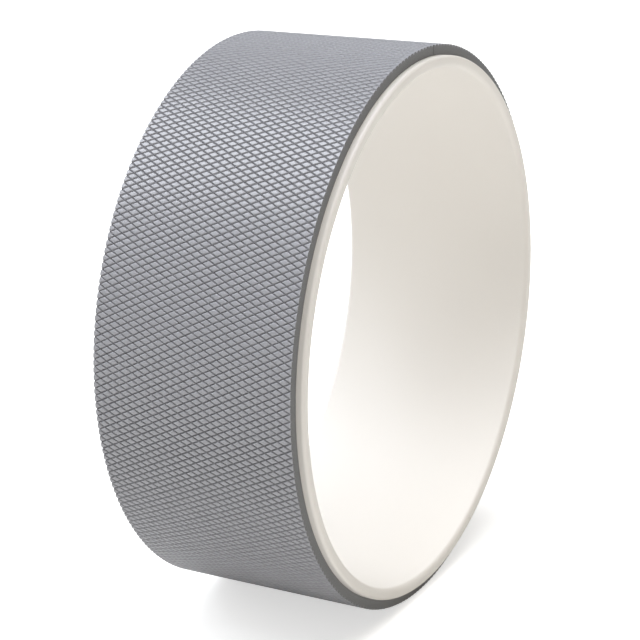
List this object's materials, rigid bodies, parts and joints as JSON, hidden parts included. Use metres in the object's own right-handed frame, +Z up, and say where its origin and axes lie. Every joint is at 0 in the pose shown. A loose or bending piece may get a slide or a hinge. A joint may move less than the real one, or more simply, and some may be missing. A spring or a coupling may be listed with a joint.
{
  "type": "yoga wheel",
  "caption": "Yoga wheel: rigid plastic ring with rounded lips and a diamond-knurled foam tread bonded round it, for back bends, stretching and balance work.",
  "frame": {"origin": "centre of the wheel, on its axis, halfway between the two rims", "axes": "+Y along the wheel's axis, +Z up with the wheel standing on its tread, +X in the rolling direction"},
  "size_m": [0.33, 0.129, 0.33],
  "materials": {
    "core": "satin moulded ABS, warm white",
    "tread": "matt foamed TPE, grey, embossed with a diamond knurl",
    "film": "double-sided adhesive film"
  },
  "bodies": {
    "root": {"core_ring": "core", "tread_strip": "tread", "bonding_film": "film"}
  },
  "joints": []
}
